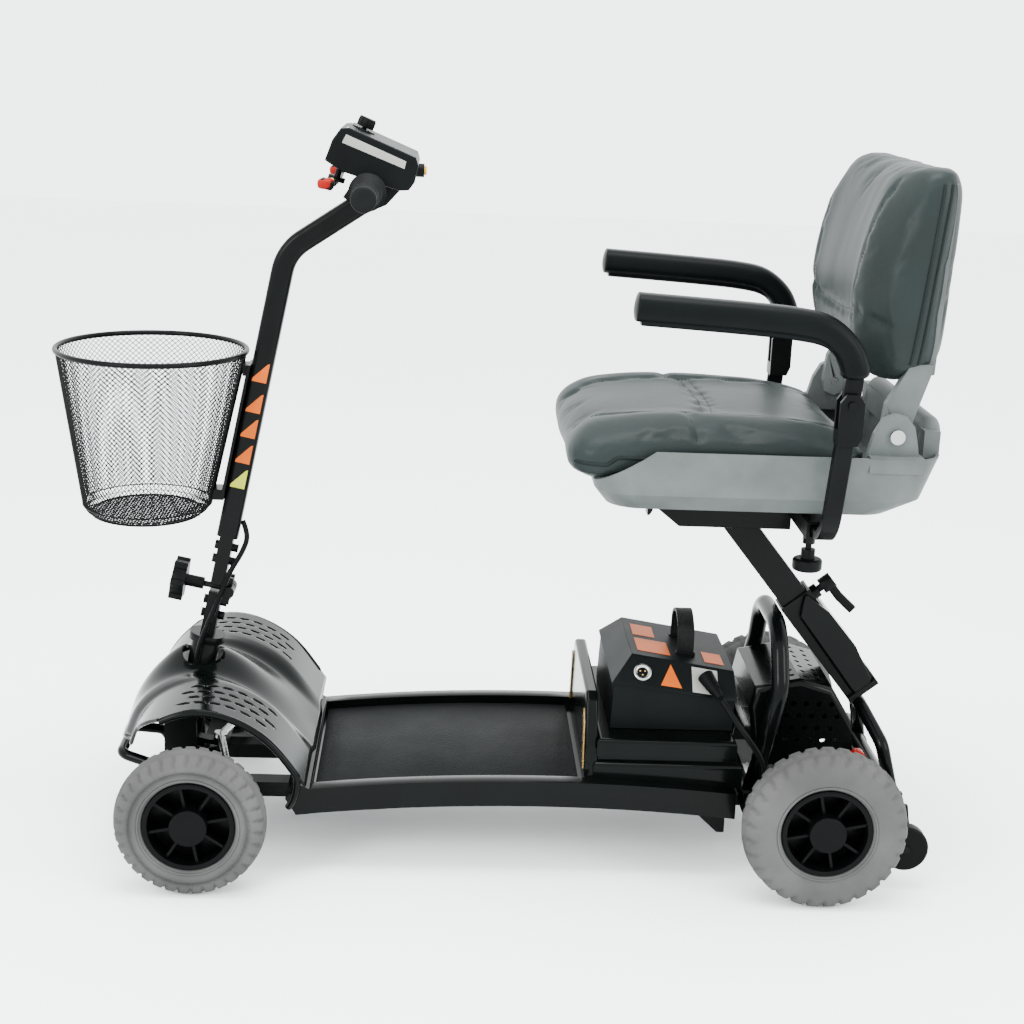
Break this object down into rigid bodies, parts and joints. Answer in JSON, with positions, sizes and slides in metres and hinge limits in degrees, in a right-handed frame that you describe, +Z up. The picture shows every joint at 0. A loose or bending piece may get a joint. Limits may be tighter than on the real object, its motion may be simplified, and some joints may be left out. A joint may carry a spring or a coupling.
{
  "type": "mobility scooter",
  "caption": "Travel mobility scooter with a padded swing-up-arm seat, folding tiller with front basket, low deck and a lift-off battery box.",
  "frame": {"origin": "on the floor, at the middle of the scooter's bounding box", "axes": "+X forwards towards the basket, +Y to the rider's left, +Z up"},
  "size_m": [1.147, 0.516, 0.9522],
  "materials": {
    "deck_plastic": "moulded, satin",
    "mat_rubber": "ribbed, matt",
    "frame_paint": "black powder coat, satin",
    "tube_paint": "black powder coat, satin",
    "shroud_plastic": "moulded, soft gloss",
    "cast_alloy": "cast, matt",
    "battery_plastic": "moulded, fine grain",
    "handle_strap": "crosshatched",
    "cell_plastic": "plain",
    "cable_rubber": "smooth",
    "black_plastic": "moulded, satin",
    "motor_paint": "black enamel",
    "lever_plastic": "red",
    "bright_steel": "zinc plated",
    "basket_mesh": "black coated mesh",
    "button_plastic": "yellow",
    "grip_rubber": "matt",
    "seat_plastic": "grey, moulded",
    "vinyl": "slate vinyl, soft sheen",
    "tyre": "grey, non-marking",
    "hub_plastic": "moulded, black",
    "roller_plastic": "plain",
    "armrest_foam": "skinned foam, matt"
  },
  "bodies": {
    "chassis": {"floor_pan": "deck_plastic", "deck_mat": "mat_rubber", "main_frame": "frame_paint", "front_bumper": "frame_paint", "front_shroud": "shroud_plastic", "front_axle_beam": "frame_paint", "battery_tray": "shroud_plastic", "controller": "cast_alloy", "battery_tub": "battery_plastic", "battery_lid": "battery_plastic", "battery_handle": "handle_strap", "battery_cells": "cell_plastic", "battery_lead": "cable_rubber", "lead_plug": "cable_rubber", "rear_hoop": "tube_paint", "rear_arch": "tube_paint", "post_sleeve": "frame_paint", "post_cover": "shroud_plastic", "motor_cover": "deck_plastic", "transaxle": "cast_alloy", "drive_motor": "motor_paint"},
    "freewheel": {"freewheel_lever": "lever_plastic"},
    "seat_clamp": {"seat_clamp_lever": "black_plastic"},
    "steering": {"steering_column": "frame_paint"},
    "steering_rods": {"tie_rods": "bright_steel"},
    "tiller_clamp": {"tiller_knob": "black_plastic"},
    "tiller": {"tiller_tube": "frame_paint", "tiller_cable": "cable_rubber", "basket": "basket_mesh", "basket_bracket": "frame_paint", "console_housing": "black_plastic", "grips": "grip_rubber"},
    "dial": {"speed_dial": "black_plastic"},
    "horn": {"horn_button": "button_plastic"},
    "key": {"ignition_key": "bright_steel"},
    "throttle": {"throttle_lever": "black_plastic"},
    "seat": {"seat_post": "frame_paint", "seat_base": "seat_plastic", "seat_cushion": "vinyl", "hinge_bolts": "bright_steel"},
    "backrest": {"backrest_shell": "seat_plastic", "backrest_cushion": "vinyl"},
    "stub_axle_left": {"knuckle_left": "frame_paint"},
    "front_wheel_left": {"front_tyre_left": "tyre", "front_hub_left": "hub_plastic"},
    "rear_wheel_left": {"rear_tyre_left": "tyre", "rear_hub_left": "hub_plastic"},
    "guard_wheel_left": {"anti_tip_wheel_left": "roller_plastic"},
    "arm_bar_left": {"armrest_bar_left": "frame_paint"},
    "arm_clamp_left": {"armrest_knob_left": "black_plastic"},
    "arm_pad_left": {"armrest_left": "armrest_foam"},
    "stub_axle_right": {"knuckle_right": "frame_paint"},
    "front_wheel_right": {"front_tyre_right": "tyre", "front_hub_right": "hub_plastic"},
    "rear_wheel_right": {"rear_tyre_right": "tyre", "rear_hub_right": "hub_plastic"},
    "guard_wheel_right": {"anti_tip_wheel_right": "roller_plastic"},
    "arm_bar_right": {"armrest_bar_right": "frame_paint"},
    "arm_clamp_right": {"armrest_knob_right": "black_plastic"},
    "arm_pad_right": {"armrest_right": "armrest_foam"}
  },
  "joints": [
    {"name": "steer", "type": "hinge", "parent": "chassis", "child": "steering", "pos_m": [0.3785, 0, 0.257], "axis": [-0.1925, 0, 0.9813], "range_deg": [-30, 30]},
    {"name": "rod_link", "type": "hinge", "parent": "steering", "child": "steering_rods", "pos_m": [0.35995, 0, 0.11782], "axis": [-0.1925, 0, 0.9813], "range_deg": [-30, 30]},
    {"name": "tiller_fold", "type": "hinge", "parent": "steering", "child": "tiller", "pos_m": [0.34757, 0, 0.32634], "axis": [0, -1, 0], "range_deg": [0, 22], "deforming": ["tiller_cable"]},
    {"name": "tiller_clamp_turn", "type": "hinge", "parent": "steering", "child": "tiller_clamp", "pos_m": [0.41332, 0, 0.33924], "axis": [0.9813, 0, 0.1925], "range_deg": [0, 360]},
    {"name": "stub_axle_left_turn", "type": "hinge", "parent": "chassis", "child": "stub_axle_left", "pos_m": [0.37002, 0.184, 0.09504], "axis": [-0.1925, 0, 0.9813], "range_deg": [-30, 30]},
    {"name": "front_wheel_left_spin", "type": "hinge", "parent": "stub_axle_left", "child": "front_wheel_left", "pos_m": [0.37, 0.231, 0.095], "axis": [0, 1, 0], "continuous": true},
    {"name": "rear_wheel_left_spin", "type": "hinge", "parent": "chassis", "child": "rear_wheel_left", "pos_m": [-0.425, 0.231, 0.105], "axis": [0, 1, 0], "continuous": true},
    {"name": "guard_wheel_left_spin", "type": "hinge", "parent": "chassis", "child": "guard_wheel_left", "pos_m": [-0.544, 0.178, 0.057], "axis": [0, 1, 0], "continuous": true},
    {"name": "stub_axle_right_turn", "type": "hinge", "parent": "chassis", "child": "stub_axle_right", "pos_m": [0.37002, -0.184, 0.09504], "axis": [-0.1925, 0, 0.9813], "range_deg": [-30, 30]},
    {"name": "front_wheel_right_spin", "type": "hinge", "parent": "stub_axle_right", "child": "front_wheel_right", "pos_m": [0.37, -0.231, 0.095], "axis": [0, 1, 0], "continuous": true},
    {"name": "rear_wheel_right_spin", "type": "hinge", "parent": "chassis", "child": "rear_wheel_right", "pos_m": [-0.425, -0.231, 0.105], "axis": [0, 1, 0], "continuous": true},
    {"name": "guard_wheel_right_spin", "type": "hinge", "parent": "chassis", "child": "guard_wheel_right", "pos_m": [-0.544, -0.178, 0.057], "axis": [0, 1, 0], "continuous": true},
    {"name": "dial_turn", "type": "hinge", "parent": "tiller", "child": "dial", "pos_m": [0.181, 0, 0.9334], "axis": [-0.3729, 0, 0.9279], "range_deg": [0, 270]},
    {"name": "horn_press", "type": "slide", "parent": "tiller", "child": "horn", "axis": [1, 0, 0], "range_m": [0, 0.002], "stiffness_N_per_m": 800, "springref_m": -0.001},
    {"name": "key_turn", "type": "hinge", "parent": "tiller", "child": "key", "pos_m": [0.165, -0.073, 0.905], "axis": [0, -1, 0], "range_deg": [0, 90]},
    {"name": "throttle_squeeze", "type": "hinge", "parent": "tiller", "child": "throttle", "pos_m": [0.214, 0, 0.872], "axis": [-0.28, 0, 0.96], "range_deg": [-8, 8], "stiffness_Nm_per_rad": 1},
    {"name": "freewheel_turn", "type": "hinge", "parent": "chassis", "child": "freewheel", "pos_m": [-0.425, 0.096, 0.105], "axis": [0, 1, 0], "range_deg": [0, 45]},
    {"name": "seat_clamp_turn", "type": "hinge", "parent": "chassis", "child": "seat_clamp", "pos_m": [-0.41746, 0, 0.32836], "axis": [-0.776, 0, 0.6307], "range_deg": [-90, 90]},
    {"name": "seat_height", "type": "slide", "parent": "chassis", "child": "seat", "axis": [0.6307, 0, 0.776], "range_m": [-0.03, 0.06]},
    {"name": "backrest_fold", "type": "hinge", "parent": "seat", "child": "backrest", "pos_m": [-0.479, 0, 0.6035], "axis": [0, 1, 0], "range_deg": [0, 60]},
    {"name": "arm_left_width", "type": "slide", "parent": "seat", "child": "arm_bar_left", "axis": [0, 1, 0], "range_m": [0, 0.04]},
    {"name": "arm_clamp_left_turn", "type": "hinge", "parent": "seat", "child": "arm_clamp_left", "pos_m": [-0.397, 0.13, 0.43], "axis": [0, 0, 1], "range_deg": [0, 360]},
    {"name": "arm_left_flip", "type": "hinge", "parent": "arm_bar_left", "child": "arm_pad_left", "pos_m": [-0.41, 0.236, 0.649], "axis": [0, -1, 0], "range_deg": [0, 95]},
    {"name": "arm_right_width", "type": "slide", "parent": "seat", "child": "arm_bar_right", "axis": [0, -1, 0], "range_m": [0, 0.04]},
    {"name": "arm_clamp_right_turn", "type": "hinge", "parent": "seat", "child": "arm_clamp_right", "pos_m": [-0.397, -0.13, 0.43], "axis": [0, 0, 1], "range_deg": [0, 360]},
    {"name": "arm_right_flip", "type": "hinge", "parent": "arm_bar_right", "child": "arm_pad_right", "pos_m": [-0.41, -0.236, 0.649], "axis": [0, -1, 0], "range_deg": [0, 95]}
  ],
  "couplings": [
    {"joint": "rod_link", "follows": "steer", "ratio": -1},
    {"joint": "stub_axle_left_turn", "follows": "steer", "ratio": 1},
    {"joint": "stub_axle_right_turn", "follows": "steer", "ratio": 1}
  ]
}
